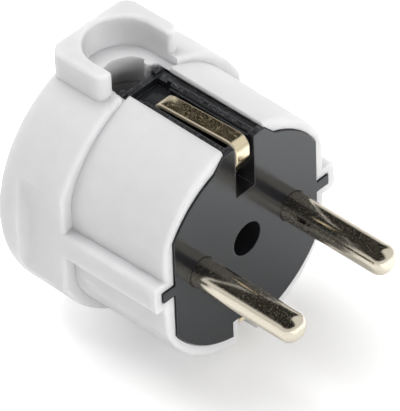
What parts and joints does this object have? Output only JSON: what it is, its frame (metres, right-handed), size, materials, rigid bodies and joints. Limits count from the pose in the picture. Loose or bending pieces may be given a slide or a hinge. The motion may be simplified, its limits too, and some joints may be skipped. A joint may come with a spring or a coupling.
{
  "type": "angled mains plug",
  "caption": "Angled mains plug to wire on a cord: round white hood with a cord collar on top, and a dark face with round contact pins, a screw hole and earth contacts above and below.",
  "frame": {"origin": "centre of the dark face, midway between the two pins, in the face's plane", "axes": "+Y back into the hood, so the pins point along -Y; +Z towards the cord entry; +X from the left pin to the right pin"},
  "size_m": [0.0414, 0.0508, 0.0444],
  "materials": {
    "white_plastic": "smooth moulding, soft gloss",
    "dark_plastic": "smooth moulding, glossy",
    "plated_brass": "nickel plated, bright",
    "strip_brass": "rolled strip, bright",
    "terminal_brass": "turned or cut, plain",
    "screw_steel": "zinc plated"
  },
  "bodies": {
    "root": {"hood": "white_plastic", "contact_carrier": "dark_plastic", "earth_strip": "strip_brass", "earth_terminal": "terminal_brass", "earth_terminal_screw": "screw_steel", "cord_clamp": "white_plastic", "cord_clamp_screw_left": "screw_steel", "cord_clamp_screw_right": "screw_steel", "housing_screw": "screw_steel", "housing_screw_washer": "screw_steel", "threaded_bush": "terminal_brass", "pin_left": "plated_brass", "pin_right": "plated_brass", "pin_lock_ring_left": "screw_steel", "pin_lock_ring_right": "screw_steel", "terminal_screw_left": "screw_steel", "terminal_screw_right": "screw_steel"}
  },
  "joints": []
}
